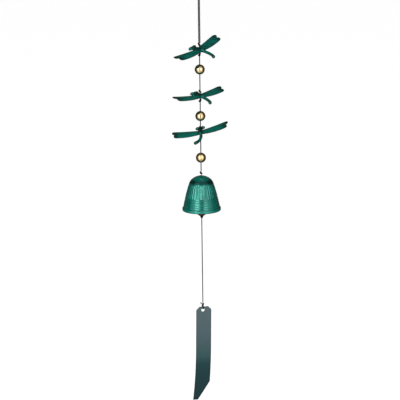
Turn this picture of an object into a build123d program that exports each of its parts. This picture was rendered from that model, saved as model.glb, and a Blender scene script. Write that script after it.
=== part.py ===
from build123d import *
import math
import os

# Wind bell: an iron bell, three iron dragonflies and three brass beads threaded on a knotted
# cord, with a brass clapper in the bell and a stiff paper tag below it that catches the wind.
# Millimetres, +Z up, front towards -Y. The origin is the point at the top inside of the
# hanging loop, where the hook carries everything else.

os.makedirs("parts", exist_ok=True)

# Cord and its knots
cord_diameter = 1.5
tag_cord_diameter = 1.4
strand_gap = 0.1
knot_radius_share = 1.5
double_knot_radius_share = 1.75
knot_flat_share = 0.88
knot_core_share = 0.84
knot_tilt = 38
knot_turns = 3
seat_gap = 0.3

# Hanging loop
hook_radius = 4.0
loop_length = 26.0

# Drops from one threaded piece to the next, each to its own middle
upper_dragonfly_drop = 78.8
upper_bead_drop = 27.6
middle_dragonfly_drop = 38.5
middle_bead_drop = 28.4
lower_dragonfly_drop = 23.7
lower_bead_drop = 36.1
bell_drop = 25.8

# Dragonfly casting, in its own frame: head towards +X, its hole for the cord at the origin
thorax_length = 22.0
thorax_height = 7.4
thorax_lift = 0.6
neck_radius = 3.0
head_reach = 14.7
head_lift = 2.5
head_width = 14.2
head_radius = 2.3
eye_radius = 2.5
eye_reach = 3.5
eye_cone_share = 0.96
eye_tip_radius = 0.5
tail_radius = 2.3
tail_tip_radius = 2.4
tail_root_reach = 5.0
tail_middle_reach = 17.0
tail_middle_droop = 2.6
tail_reach = 38.5
tail_droop = 3.6
tail_bend = 8.0
wing_root_reach = 1.6
wing_root_thickness = 2.0
wing_tip_thickness = 1.1
wing_root_chord = 5.5
wing_sag_share = 0.26
wing_belly_share = 0.6
wing_tip_share = 0.92
wing_tip_chord_share = 0.86
forewing_root_lead = 4.6
forewing_lead = 8.8
forewing_span = 40.0
forewing_rise = 5.1
forewing_chord = 9.9
forewing_incidence = 13.0
hindwing_root_lead = -4.0
hindwing_lead = -0.6
hindwing_span = 38.0
hindwing_rise = 2.7
hindwing_chord = 10.3
hindwing_incidence = 20.0
hole_clearance = 0.15

# How each dragonfly stands on the cord: heading, nose down and lean, in degrees
dragonfly_headings = {"upper": 129.6, "middle": 121.9, "lower": 89.5}
dragonfly_pitches = {"upper": 5.6, "middle": 4.7, "lower": -1.3}
dragonfly_leans = {"upper": -14.8, "middle": -3.6, "lower": -11.6}

# Beads
bead_diameter = 14.2
bead_knot_depth = 4.6
bore_clearance = 0.3

# Bell
bell_height = 49.6
mouth_diameter = 54.0
bell_wall = 2.8
crown_radius = 20.0
shoulder_radius = 7.0
shoulder_drop = 8.8
shoulder_diameter = 32.4
side_bow = 0.8
lip_height = 5.6
lip_relief = 0.5
lip_round = 1.1
ring_radius = 0.7
ring_relief = 0.35
shoulder_ring_drop = 9.8
waist_ring_drop = 31.8
crown_hole_clearance = 0.7
top_knot_lift = 3.8

# Clapper
clapper_diameter = 14.0
clapper_drop = 51.4

# Tag
tag_cord_length = 127.6
tag_width = 22.4
tag_length = 136.5
tag_short_side = 109.5
tag_end_width = 7.1
tag_thickness = 0.5
tag_corner = 4.6
tag_hole_diameter = 4.8
tag_hole_offset = 1.2
tag_strip = 2.4
tag_straight_length = 60.0
tag_curl = 11.0
tag_heading = 20.0
tag_lean = 1.1
tail_end_length = 5.2
tail_end_lean = 50.0
strap_clearance = 0.3

# Sizes that follow from the ones above
levels = ("upper", "middle", "lower")
cord_radius = cord_diameter / 2
tag_cord_radius = tag_cord_diameter / 2
knot_radius = knot_radius_share * cord_diameter
double_knot_radius = double_knot_radius_share * cord_diameter
tag_knot_radius = knot_radius_share * tag_cord_diameter
strand_offset = (cord_diameter + strand_gap) / 2
bead_radius = bead_diameter / 2
clapper_radius = clapper_diameter / 2


def tilt_of(level):
    """Angle in radians between a dragonfly's own upright and the cord."""
    pitch = math.radians(dragonfly_pitches[level])
    lean = math.radians(dragonfly_leans[level])
    return math.acos(math.cos(pitch) * math.cos(lean))


largest_tilt = max(tilt_of(level) for level in levels)
thorax_top = thorax_lift + thorax_height / 2
thorax_bottom = thorax_height / 2 - thorax_lift
cord_hole_radius = (
    cord_radius / math.cos(largest_tilt) + thorax_top * math.tan(largest_tilt) + hole_clearance
)

# Heights along the cord
loop_knot_z = -loop_length
dragonfly_z = {}
bead_z = {}
dragonfly_z["upper"] = loop_knot_z - upper_dragonfly_drop
bead_z["upper"] = dragonfly_z["upper"] - upper_bead_drop
dragonfly_z["middle"] = bead_z["upper"] - middle_dragonfly_drop
bead_z["middle"] = dragonfly_z["middle"] - middle_bead_drop
dragonfly_z["lower"] = bead_z["middle"] - lower_dragonfly_drop
bead_z["lower"] = dragonfly_z["lower"] - lower_bead_drop
bell_top = bead_z["lower"] - bell_drop
bell_mouth = bell_top - bell_height
bell_knot_z = bell_top + top_knot_lift
stop_knot_z = bell_top - bell_wall - seat_gap - knot_radius
clapper_z = bell_top - clapper_drop
clapper_knot_z = clapper_z - clapper_radius
tag_knot_z = clapper_knot_z - tag_cord_length

# Heights of the knots that hold each dragonfly and each bead
top_knot_radius = {"upper": double_knot_radius, "middle": knot_radius, "lower": knot_radius}
top_knot_z = {}
stop_knot_under_z = {}
bead_knot_z = {}
for level in levels:
    rim_drop = cord_hole_radius * math.sin(tilt_of(level))
    rim_top = dragonfly_z[level] + thorax_top + rim_drop
    rim_bottom = dragonfly_z[level] - thorax_bottom - rim_drop
    top_knot_z[level] = rim_top + seat_gap + top_knot_radius[level]
    stop_knot_under_z[level] = rim_bottom - seat_gap - knot_radius
    bead_knot_z[level] = bead_z[level] - bead_knot_depth


def knot_flat(radius):
    """Half the height of a knot of this radius, whose ends are cut flat for the cord."""
    return knot_flat_share * radius


def make_knot(label, height, radius, strand_radius):
    """A knot: a core with tilted turns of the cord over it, cut flat where the cord runs on."""
    with BuildPart(Plane.XY.offset(height)) as knot:
        Sphere(radius=knot_core_share * radius)
        for turn in range(knot_turns):
            around = turn * 360 / knot_turns
            with Locations(Location((0, 0, 0), (knot_tilt, 0, around))):
                Torus(major_radius=radius - strand_radius, minor_radius=strand_radius)
        Cylinder(radius=radius, height=2 * knot_flat(radius), mode=Mode.INTERSECT)
    knot.part.label = label
    export_step(knot.part, f"parts/{label}.step")


def make_cord(label, top, bottom, radius, sideways=0):
    """A straight, taut stretch of cord between two heights."""
    with BuildPart() as cord:
        with BuildSketch(Plane.XY.offset(bottom)):
            with Locations((sideways, 0)):
                Circle(radius)
        extrude(amount=top - bottom)
    cord.part.label = label
    export_step(cord.part, f"parts/{label}.step")


def make_ball(label, height, radius, bore_radius, pocket_radius, pocket_top):
    """A ball with a bore along the cord, widened at its foot to take the knot it sits on."""
    with BuildPart(Plane.XY.offset(height)) as ball:
        Sphere(radius=radius)
        Cylinder(radius=bore_radius, height=3 * radius, mode=Mode.SUBTRACT)
        with BuildSketch(Plane.XY.offset(height + pocket_top)):
            Circle(pocket_radius)
        extrude(amount=-2 * radius, mode=Mode.SUBTRACT)
    ball.part.label = label
    export_step(ball.part, f"parts/{label}.step")


# Hanging loop: an arc over the hook, and two legs that run down to the knot side by side
loop_arc_radius = hook_radius + cord_radius
loop_arc_z = -hook_radius
leg_end = Vector(strand_offset, 0, loop_knot_z + knot_radius + seat_gap)
leg_reach = math.hypot(leg_end.X, leg_end.Z - loop_arc_z)
leg_slant = math.asin(loop_arc_radius / leg_reach) - math.atan2(leg_end.X, loop_arc_z - leg_end.Z)
arc_end = Vector(
    loop_arc_radius * math.cos(leg_slant), 0, loop_arc_z - loop_arc_radius * math.sin(leg_slant)
)
with BuildPart() as hanging_loop:
    with BuildLine() as loop_line:
        Line((-leg_end.X, 0, leg_end.Z), (-arc_end.X, 0, arc_end.Z))
        ThreePointArc(
            (-arc_end.X, 0, arc_end.Z), (0, 0, loop_arc_z + loop_arc_radius), tuple(arc_end)
        )
        Line(tuple(arc_end), tuple(leg_end))
    with BuildSketch(Plane(origin=loop_line.line @ 0, z_dir=loop_line.line % 0)):
        Circle(cord_radius)
    sweep()
hanging_loop.part.label = "hanging_loop"
export_step(hanging_loop.part, "parts/hanging_loop.step")
loop_run = loop_line.wire().length
loop_section = math.pi * cord_radius**2
print("hanging loop bend radius", round(loop_arc_radius, 2), "cord run", round(loop_run, 2))
print("hanging loop volume over section times run", hanging_loop.part.volume / loop_section / loop_run)

make_knot("loop_knot", loop_knot_z, knot_radius, cord_radius)


def make_wing(root_lead, lead, span, rise, chord, incidence):
    """A left wing: a strip bowed along the span, cut to a leaf outline, its front edge raised."""
    root = Vector(root_lead, wing_root_reach, 0)
    tip = Vector(lead, span, 0)
    along = (tip - root).normalized()
    length = (tip - root).length
    upright = Vector(0, 0, 1).rotate(Axis(root, along), -incidence)
    plan = Plane(origin=root, x_dir=along, z_dir=upright)
    side = Plane(origin=root, x_dir=along, z_dir=plan.y_dir * -1)
    half_root = wing_root_chord / 2
    half_chord = chord / 2
    half_tip = wing_tip_chord_share * half_chord
    belly = wing_belly_share * length
    shoulder = wing_tip_share * length
    sag = wing_sag_share * rise
    with BuildPart() as wing:
        with BuildSketch(side):
            with BuildLine():
                ThreePointArc(
                    (0, wing_root_thickness / 2),
                    (length / 2, sag + wing_root_thickness / 2),
                    (length, rise + wing_tip_thickness / 2),
                )
                Line((length, rise + wing_tip_thickness / 2), (length, rise - wing_tip_thickness / 2))
                ThreePointArc(
                    (length, rise - wing_tip_thickness / 2),
                    (length / 2, sag - wing_root_thickness / 2),
                    (0, -wing_root_thickness / 2),
                )
                Line((0, -wing_root_thickness / 2), (0, wing_root_thickness / 2))
            make_face()
        extrude(amount=chord, both=True)
        with BuildSketch(plan):
            with BuildLine():
                ThreePointArc((0, half_root), (belly, half_chord), (shoulder, half_tip))
                ThreePointArc((shoulder, half_tip), (length, 0), (shoulder, -half_tip))
                ThreePointArc((shoulder, -half_tip), (belly, -half_chord), (0, -half_root))
                Line((0, -half_root), (0, half_root))
            make_face()
        extrude(amount=length, both=True, mode=Mode.INTERSECT)
    return wing.part


forewing = make_wing(
    forewing_root_lead,
    forewing_lead,
    forewing_span,
    forewing_rise,
    forewing_chord,
    forewing_incidence,
)
hindwing = make_wing(
    hindwing_root_lead,
    hindwing_lead,
    hindwing_span,
    hindwing_rise,
    hindwing_chord,
    hindwing_incidence,
)

# Dragonfly: body, head with its two eyes, drooping bent tail, four wings, and the cord's hole
thorax_axis = Axis((0, 0, thorax_lift), (1, 0, 0))
eye_cone_radius = eye_cone_share * eye_radius
eye_tip_length = head_width / 2 - eye_reach
with BuildPart() as casting:
    with BuildSketch(Plane.XZ):
        with BuildLine():
            EllipticalCenterArc(
                (0, thorax_lift), thorax_length / 2, thorax_height / 2, start_angle=0, arc_size=180
            )
            Line((thorax_length / 2, thorax_lift), (-thorax_length / 2, thorax_lift))
        make_face()
    revolve(axis=thorax_axis)
    with BuildLine() as neck_line:
        Line((0, 0, thorax_lift), (head_reach, 0, head_lift))
    with BuildSketch(Plane(origin=neck_line.line @ 0, z_dir=neck_line.line % 0)):
        Circle(neck_radius)
    sweep()
    with Locations((head_reach, 0, head_lift)):
        Sphere(radius=head_radius)
    for side in (1, -1):
        with Locations((head_reach, side * eye_reach, head_lift)):
            Sphere(radius=eye_radius)
        eye_middle = (head_reach, side * (eye_reach + eye_tip_length / 2), head_lift)
        with Locations(Location(eye_middle, (-side * 90, 0, 0))):
            Cone(bottom_radius=eye_cone_radius, top_radius=eye_tip_radius, height=eye_tip_length)
    with BuildLine() as tail_line:
        ThreePointArc(
            (-tail_root_reach, 0, 0),
            (-tail_middle_reach, 0, -tail_middle_droop),
            (-tail_reach, tail_bend, -tail_droop),
        )
    with BuildSketch(Plane(origin=tail_line.line @ 0, z_dir=tail_line.line % 0)):
        Circle(tail_radius)
    sweep(path=tail_line.line)
    with Locations(Plane(origin=tail_line.line @ 1, z_dir=tail_line.line % 1)):
        Sphere(radius=tail_tip_radius)
    add(forewing)
    add(hindwing)
    mirror(forewing, about=Plane.XZ)
    mirror(hindwing, about=Plane.XZ)
    Cylinder(radius=cord_hole_radius, height=4 * thorax_height, mode=Mode.SUBTRACT)

# The dragonflies, each the same casting turned and tilted on the cord
for level in levels:
    stance = (
        Pos(0, 0, dragonfly_z[level])
        * Rot(0, 0, dragonfly_headings[level])
        * Rot(0, dragonfly_pitches[level], 0)
        * Rot(dragonfly_leans[level], 0, 0)
    )
    dragonfly = stance * casting.part
    dragonfly.label = f"{level}_dragonfly"
    export_step(dragonfly, f"parts/{level}_dragonfly.step")

# The beads, each on the knot in the pocket under it
ball_bore_radius = cord_radius + bore_clearance
pocket_radius = knot_radius + seat_gap
for level in levels:
    bead_pocket_top = knot_radius + seat_gap - bead_knot_depth
    make_ball(
        f"{level}_bead", bead_z[level], bead_radius, ball_bore_radius, pocket_radius, bead_pocket_top
    )

# The knots above and below each dragonfly and under each bead
for level in levels:
    make_knot(f"{level}_dragonfly_top_knot", top_knot_z[level], top_knot_radius[level], cord_radius)
    make_knot(f"{level}_dragonfly_stop_knot", stop_knot_under_z[level], knot_radius, cord_radius)
    make_knot(f"{level}_bead_stop_knot", bead_knot_z[level], knot_radius, cord_radius)

# The cord between the knots: two strands down to the first dragonfly, and one from there on
for side_name, sideways in (("left", -strand_offset), ("right", strand_offset)):
    make_cord(
        f"upper_cord_{side_name}",
        loop_knot_z - knot_radius - seat_gap,
        top_knot_z["upper"] + knot_flat(top_knot_radius["upper"]) + seat_gap,
        cord_radius,
        sideways,
    )
for level in levels:
    make_cord(
        f"{level}_dragonfly_inner_cord",
        top_knot_z[level] - knot_flat(top_knot_radius[level]),
        stop_knot_under_z[level] + knot_flat(knot_radius),
        cord_radius,
    )
    make_cord(
        f"{level}_bead_cord",
        stop_knot_under_z[level] - knot_flat(knot_radius),
        bead_knot_z[level] + knot_flat(knot_radius),
        cord_radius,
    )
for level_above, level in zip(levels, levels[1:]):
    make_cord(
        f"{level}_dragonfly_upper_cord",
        bead_knot_z[level_above] - knot_flat(knot_radius),
        top_knot_z[level] + knot_flat(top_knot_radius[level]),
        cord_radius,
    )

# The bell's own stretch of cord, which hinges at the knot over the crown
make_cord(
    "bell_upper_cord",
    bead_knot_z["lower"] - knot_flat(knot_radius),
    bell_knot_z + knot_radius + seat_gap,
    cord_radius,
)
make_knot("bell_top_knot", bell_knot_z, knot_radius, cord_radius)
make_cord(
    "bell_inner_cord",
    bell_knot_z - knot_radius - seat_gap,
    stop_knot_z + knot_flat(knot_radius) + seat_gap,
    cord_radius,
)
make_knot("bell_stop_knot", stop_knot_z, knot_radius, cord_radius)

# Bell: one outline serves the outside and, set in by the wall, the inside
mouth_radius = mouth_diameter / 2
flare_radius = mouth_radius - lip_relief
flare_share = (flare_radius - shoulder_diameter / 2) / (bell_height - shoulder_drop)
flare_slant = math.hypot(1, flare_share)


def flare_at(drop, inset=0):
    """Radius of the straight side at a drop below the crown, set in by a wall."""
    return shoulder_diameter / 2 + (drop - shoulder_drop) * flare_share - inset * flare_slant


def side_at(drop, inset=0):
    """Radius of the side, which bows out a little between the crown and the foot."""
    along = (drop - shoulder_drop) / (bell_height - shoulder_drop)
    return flare_at(drop, inset) + 4 * side_bow * along * (1 - along)


def crown_meets_side(inset):
    """Radius and drop where the crown's arc, set in, would meet the straight side."""
    arc = crown_radius - inset
    start = flare_at(crown_radius, inset)
    square = 1 + flare_share**2
    run = start * flare_share + math.sqrt((start * flare_share) ** 2 - square * (start**2 - arc**2))
    rise = run / square
    return start - rise * flare_share, crown_radius - rise


def bell_outline(inset, foot_drop):
    """Half of the bell's upright section, filled to its axis, down to a foot."""
    corner_radius, corner_drop = crown_meets_side(inset)
    arc = crown_radius - inset
    half_angle = math.asin(corner_radius / arc) / 2
    corner = (corner_radius, bell_top - corner_drop)
    middle_drop = (corner_drop + foot_drop) / 2
    with BuildSketch(Plane.XZ) as outline:
        with BuildLine():
            ThreePointArc(
                (0, bell_top - inset),
                (arc * math.sin(half_angle), bell_top - crown_radius + arc * math.cos(half_angle)),
                corner,
            )
            ThreePointArc(
                corner,
                (side_at(middle_drop, inset), bell_top - middle_drop),
                (side_at(foot_drop, inset), bell_top - foot_drop),
            )
            Polyline(
                (side_at(foot_drop, inset), bell_top - foot_drop),
                (0, bell_top - foot_drop),
                (0, bell_top - inset),
            )
        make_face()
        rounded = outline.vertices().sort_by_distance(corner)[0]
        fillet(rounded, radius=shoulder_radius - inset)
    return outline.sketch


bell_outside = bell_outline(0, bell_height)
bell_inside = bell_outline(bell_wall, bell_height + bell_wall)
with BuildPart() as bell:
    add(bell_outside)
    revolve(axis=Axis.Z)
    with BuildSketch(Plane.XZ):
        with BuildLine():
            Polyline(
                (0, bell_mouth),
                (mouth_radius, bell_mouth),
                (mouth_radius, bell_mouth + lip_height / 2),
                (side_at(bell_height - lip_height), bell_mouth + lip_height),
                (0, bell_mouth + lip_height),
                (0, bell_mouth),
            )
        make_face()
    revolve(axis=Axis.Z)
    lip_edge = bell.edges().filter_by(GeomType.CIRCLE).group_by(Axis.Z)[0]
    fillet(lip_edge, radius=lip_round)
    for drop in (shoulder_ring_drop, waist_ring_drop):
        with BuildSketch(Plane.XZ):
            with Locations((side_at(drop) + ring_relief - ring_radius, bell_top - drop)):
                Circle(ring_radius)
        revolve(axis=Axis.Z)
    add(bell_inside)
    revolve(axis=Axis.Z, mode=Mode.SUBTRACT)
    with BuildSketch(Plane.XY.offset(bell_top + bell_wall)):
        Circle(cord_radius + crown_hole_clearance)
    extrude(amount=-3 * bell_wall, mode=Mode.SUBTRACT)
bell.part.label = "bell"
export_step(bell.part, "parts/bell.step")

# Clapper: a ball on its own length of cord, seated on the knot that the tag's cord hangs from
clapper_pocket_top = knot_radius + seat_gap - clapper_radius
make_cord(
    "clapper_cord",
    stop_knot_z - knot_radius - seat_gap,
    clapper_z + clapper_pocket_top,
    cord_radius,
)
make_ball(
    "clapper", clapper_z, clapper_radius, ball_bore_radius, pocket_radius, clapper_pocket_top
)
make_knot("clapper_knot", clapper_knot_z, knot_radius, cord_radius)

# Tag: its cord, the knot with the short cut end, and the strap that the knot ties through the hole
make_cord(
    "tag_cord",
    clapper_knot_z - knot_radius - seat_gap,
    tag_knot_z + knot_flat(tag_knot_radius) + seat_gap,
    tag_cord_radius,
)
strap_radius = tag_strip / 2 + strap_clearance + tag_cord_radius
strap_z = tag_knot_z - tag_knot_radius - strap_radius + tag_cord_radius / 2
tag_frame = Plane(
    origin=(0, 0, strap_z),
    x_dir=(math.cos(math.radians(tag_heading)), math.sin(math.radians(tag_heading)), 0),
    z_dir=(0, 0, 1),
)
tag_side = Plane(origin=tag_frame.origin, x_dir=tag_frame.y_dir, z_dir=tag_frame.x_dir)
tag_front = Plane(origin=tag_frame.origin, x_dir=tag_frame.x_dir, z_dir=tag_frame.y_dir * -1)
with BuildPart() as tag_knot:
    with Locations((0, 0, tag_knot_z)):
        Sphere(radius=knot_core_share * tag_knot_radius)
        for turn in range(knot_turns):
            around = turn * 360 / knot_turns
            with Locations(Location((0, 0, 0), (knot_tilt, 0, around))):
                Torus(
                    major_radius=tag_knot_radius - tag_cord_radius, minor_radius=tag_cord_radius
                )
        Cylinder(
            radius=tag_knot_radius, height=2 * knot_flat(tag_knot_radius), mode=Mode.INTERSECT
        )
    with BuildSketch(tag_front):
        with Locations((0, strap_radius)):
            Circle(tag_cord_radius)
    revolve(axis=Axis(tag_front.origin, tag_front.x_dir))
    lean = math.radians(tail_end_lean)
    end_plane = Plane(origin=(0, 0, tag_knot_z), z_dir=(-math.sin(lean), 0, math.cos(lean)))
    with BuildSketch(end_plane):
        Circle(tag_cord_radius)
    extrude(amount=tail_end_length)
tag_knot.part.label = "tag_knot"
export_step(tag_knot.part, "parts/tag_knot.step")

tag_top = tag_strip / 2
tag_foot = tag_top - tag_length
tag_left = tag_hole_offset - tag_width / 2
tag_right = tag_left + tag_width
hole_z = -tag_strip / 2 - tag_hole_diameter / 2
with BuildPart() as tag:
    with BuildSketch(tag_side):
        with BuildLine():
            upright = Line((0, tag_top), (0, tag_top - tag_straight_length))
            TangentArc(upright @ 1, (tag_curl, tag_foot), tangent=upright % 1)
        trace(line_width=tag_thickness)
    extrude(amount=tag_width, both=True)
    with BuildSketch(tag_front):
        with BuildLine():
            Polyline(
                (tag_left, tag_top - tag_corner),
                (tag_left + tag_corner, tag_top),
                (tag_right - tag_corner, tag_top),
                (tag_right, tag_top - tag_corner),
                (tag_right, tag_top - tag_short_side),
                (tag_left + tag_end_width, tag_foot),
                (tag_left, tag_foot),
                (tag_left, tag_top - tag_corner),
            )
        make_face()
        with Locations((0, hole_z)):
            Circle(tag_hole_diameter / 2, mode=Mode.SUBTRACT)
    extrude(amount=tag_width, both=True, mode=Mode.INTERSECT)

# The hole is off the tag's middle, so the tag hangs with a small lean
hung_tag = tag.part.rotate(Axis(tag_frame.origin, tag_frame.y_dir), tag_lean)
hung_tag.label = "tag"
export_step(hung_tag, "parts/tag.step")
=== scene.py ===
"""A cast wind bell on a knotted cord, with three dragonflies, three brass beads and a card tag."""

import math
from collections import namedtuple

import bpy
import numpy as np
from mathutils import Matrix, Vector
from mathutils.geometry import delaunay_2d_cdt


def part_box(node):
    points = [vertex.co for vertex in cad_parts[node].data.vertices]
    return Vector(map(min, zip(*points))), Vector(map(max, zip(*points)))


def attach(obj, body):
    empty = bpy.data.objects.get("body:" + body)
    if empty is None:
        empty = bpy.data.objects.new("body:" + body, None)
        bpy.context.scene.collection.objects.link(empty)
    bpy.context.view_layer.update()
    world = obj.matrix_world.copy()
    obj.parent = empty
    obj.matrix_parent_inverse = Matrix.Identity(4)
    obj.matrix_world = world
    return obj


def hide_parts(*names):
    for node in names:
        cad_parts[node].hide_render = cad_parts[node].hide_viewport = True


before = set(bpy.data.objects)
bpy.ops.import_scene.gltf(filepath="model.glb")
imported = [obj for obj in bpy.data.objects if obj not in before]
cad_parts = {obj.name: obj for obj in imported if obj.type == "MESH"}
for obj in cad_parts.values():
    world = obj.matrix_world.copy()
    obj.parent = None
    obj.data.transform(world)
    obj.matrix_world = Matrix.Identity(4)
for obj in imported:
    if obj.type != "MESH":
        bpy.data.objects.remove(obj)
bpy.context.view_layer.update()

MM = 0.001
TURN = 2 * math.pi
UP = np.array([0, 0, 1.0])
MIRROR = np.array([1, -1, 1])
LEVELS = ("upper", "middle", "lower")

# Sizes, in millimetres
cord_diameter = 1.5
tag_cord_diameter = 1.4
knot_radius = 2.25
double_knot_radius = 2.625
tag_knot_radius = 2.1
knot_flat_share = 0.88
seat_gap = 0.3
strand_offset = 0.8
dragonfly_z = {"upper": -104.8, "middle": -170.9, "lower": -223.0}
bead_z = {"upper": -132.4, "middle": -199.3, "lower": -259.1}
loop_knot_z = -26.0
bell_top = -284.9
clapper_z = -336.3
tag_knot_z = -470.9
strap_radius = 2.2
strap_z = tag_knot_z - tag_knot_radius - strap_radius + tag_cord_diameter / 4
bore_clearance = 0.3
# The hanging loop's half width and height where it leaves the knot's line, at its
# widest and at its top, and its length along the cord
loop_waist, loop_waist_z = 4.2, -9.0
loop_side, loop_side_z = 5.1, -2.6
loop_crown, loop_crown_z = 2.45, cord_diameter / 2


def link(name, data):
    """A new object in the scene."""
    piece = bpy.data.objects.new(name, data)
    bpy.context.scene.collection.objects.link(piece)
    return piece


def dress(piece, body, slot_name, *nodes):
    """Puts a piece in place of CAD nodes, on their body."""
    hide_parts(*nodes)
    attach(piece, body)
    return piece


# Camera
view_elevation = math.radians(13.5)
view_roll = math.radians(0.78)
view_aim = Vector((-0.0021, 0, -0.320))
frame_width = 0.56
camera_data = bpy.data.cameras.new("camera")
camera_data.lens = 1500
camera_data.sensor_width = 36
camera_data.clip_start = 1
camera_data.clip_end = 400
camera = link("camera", camera_data)
view_distance = camera_data.lens / camera_data.sensor_width * frame_width
towards_camera = Vector((0, -math.cos(view_elevation), math.sin(view_elevation)))
camera.location = view_aim + view_distance * towards_camera
camera.rotation_euler = (
    Matrix.Rotation(math.pi / 2 - view_elevation, 3, "X") @ Matrix.Rotation(-view_roll, 3, "Z")
).to_euler()
bpy.context.scene.camera = camera
bpy.context.scene.view_settings.view_transform = "Standard"


# Mesh helpers
def finish_mesh(data, smooth=True, **values):
    """Smooths a mesh's faces and stores numbers for its points."""
    data.polygons.foreach_set("use_smooth", [smooth] * len(data.polygons))
    for key, numbers in values.items():
        layer = data.attributes.new(key, "FLOAT", "POINT")
        layer.data.foreach_set("value", np.asarray(numbers, dtype=np.float32))
    data.update()
    return data


def add_mesh(name, points, faces, smooth=True, **values):
    """An object from points in millimetres and faces, with numbers for its points."""
    data = bpy.data.meshes.new(name)
    data.from_pydata((np.asarray(points) * MM).tolist(), [], [list(f) for f in faces])
    data.validate()
    return link(name, finish_mesh(data, smooth, **values))


def modify(piece, name, kind, **values):
    """Adds a modifier with its values."""
    modifier = piece.modifiers.new(name, kind)
    for key, value in values.items():
        setattr(modifier, key, value)


def evaluated(piece):
    """A piece's mesh with its modifiers applied, as a new mesh."""
    bpy.context.view_layer.update()
    return bpy.data.meshes.new_from_object(
        piece.evaluated_get(bpy.context.evaluated_depsgraph_get())
    )


def read_vectors(values, key):
    """One vector for each item of a mesh's collection, as rows."""
    read = np.empty(len(values) * 3)
    values.foreach_get(key, read)
    return read.reshape(-1, 3)


def smooth_step(low, high, value):
    """0 below low, 1 above high, and smooth between."""
    share = np.clip((value - low) / (high - low), 0, 1)
    return share * share * (3 - 2 * share)


def hill(away, width):
    """1 where away is nothing, and a smooth fall over the width."""
    return np.exp(-((away / width) ** 2))


def angles(count):
    """Angles evenly round a turn, from zero."""
    return np.arange(count) * TURN / count


def run_along(line):
    """Length along a line up to each of its points."""
    steps = np.linalg.norm(np.diff(line, axis=0), axis=1)
    return np.concatenate([[0], np.cumsum(steps)])


def spaced(line, count):
    """The same line with a number of points evenly apart."""
    along = run_along(line)
    even = np.linspace(0, along[-1], count)
    return np.stack([np.interp(even, along, values) for values in line.T], 1)


def resample(path, step):
    """The same line with points a step apart."""
    path = np.asarray(path, float)
    return spaced(path, max(3, int(round(run_along(path)[-1] / step)) + 1))


def ring_faces(rows, sides):
    """Quads between rings of points."""
    faces = []
    for low in range(0, (rows - 1) * sides, sides):
        high = low + sides
        for k in range(sides):
            after = (k + 1) % sides
            faces.append((high + k, high + after, low + after, low + k))
    return faces


def flipped(faces):
    """Faces that look the other way."""
    return [face[::-1] for face in faces]


def capped_faces(rows, sides):
    """Faces of rings closed by one point at each end, which come after the rings' points."""
    faces = ring_faces(rows, sides)
    low, high, last = rows * sides, rows * sides + 1, (rows - 1) * sides
    for k in range(sides):
        after = (k + 1) % sides
        faces.append((low, k, after))
        faces.append((high, last + after, last + k))
    return faces


def turned_mesh(name, reach, height, angle, **values):
    """An object of rings whose last one meets the first, as round a wall with a bore."""
    rows, sides = len(reach), len(angle)
    height = np.broadcast_to(height, (rows, sides))
    points = np.stack([reach * np.cos(angle), reach * np.sin(angle), height], 2)
    faces = ring_faces(rows, sides)
    last = (rows - 1) * sides
    for k in range(sides):
        after = (k + 1) % sides
        faces.append((last + k, last + after, after, k))
    return add_mesh(name, points.reshape(-1, 3), faces, **values)


def frames_along(path):
    """Two directions across a path that turn as little as they can along it."""
    tangents = np.gradient(path, axis=0)
    tangents /= np.linalg.norm(tangents, axis=1, keepdims=True)
    side = np.array([1.0, 0, 0]) if abs(tangents[0, 0]) < 0.9 else np.array([0, 1.0, 0])
    sides = np.zeros_like(path)
    for i, tangent in enumerate(tangents):
        side = side - tangent * side.dot(tangent)
        side /= np.linalg.norm(side)
        sides[i] = side
    return sides, np.cross(tangents, sides)


def closed_tube(path, radii, sides, relief=None):
    """Points and faces of a tube with closed ends; relief scales its radius by run and angle."""
    first, second = frames_along(path)
    angle = angles(sides)
    scale = relief(run_along(path)[:, None], angle) if relief else np.ones((len(path), sides))
    reach = np.broadcast_to(np.asarray(radii, float), len(path))[:, None] * scale
    around = np.cos(angle)[:, None] * first[:, None] + np.sin(angle)[:, None] * second[:, None]
    rings = path[:, None] + reach[:, :, None] * around
    points = np.vstack([rings.reshape(-1, 3), path[:1], path[-1:]])
    return points, capped_faces(len(path), sides), np.concatenate([scale.ravel(), [1, 1]])


def join(parts):
    """Several sets of points and faces as one."""
    points, faces, start = [], [], 0
    for part_points, part_faces in parts:
        points.append(np.asarray(part_points, float))
        faces += [tuple(i + start for i in face) for face in part_faces]
        start += len(part_points)
    return np.vstack(points), faces


# Cords
BRAID_STEP = 0.2
BRAID_SIDES = 24
BRAID_DEPTH = 0.16
BRAID_CARRIERS = 4


def braided_tube(path, diameter):
    """A round braid: its strands cross at a right angle round the cord."""
    lay = BRAID_CARRIERS / (diameter / 2)

    def relief(run, angle):
        one = np.abs(np.sin((BRAID_CARRIERS * angle + lay * run) / 2))
        other = np.abs(np.sin((BRAID_CARRIERS * angle - lay * run) / 2))
        return 1 - BRAID_DEPTH * (1 - np.maximum(one, other))

    return closed_tube(path, diameter / 2, BRAID_SIDES, relief)


def braided(name, path, diameter):
    """A braided cord along a path in millimetres."""
    points, faces, height = braided_tube(resample(path, BRAID_STEP), diameter)
    return add_mesh(name, points, faces, braid=1 - (1 - height) / BRAID_DEPTH)


def route_line(name, route):
    """Points read from the smooth line of a route, in millimetres."""
    curve = bpy.data.curves.new(name, "CURVE")
    curve.dimensions = "3D"
    spline = curve.splines.new("NURBS")
    spline.points.add(len(route) - 1)
    for point, place in zip(spline.points, route):
        point.co = (*(value * MM for value in place), 1)
    spline.order_u = 3
    spline.use_endpoint_u = True
    spline.resolution_u = 24
    holder = link(name, curve)
    bpy.context.view_layer.update()
    read = holder.evaluated_get(bpy.context.evaluated_depsgraph_get())
    data = bpy.data.meshes.new_from_object(read)
    line = np.array([tuple(v.co) for v in data.vertices]) / MM
    bpy.data.objects.remove(holder)
    bpy.data.curves.remove(curve)
    bpy.data.meshes.remove(data)
    return line


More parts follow.
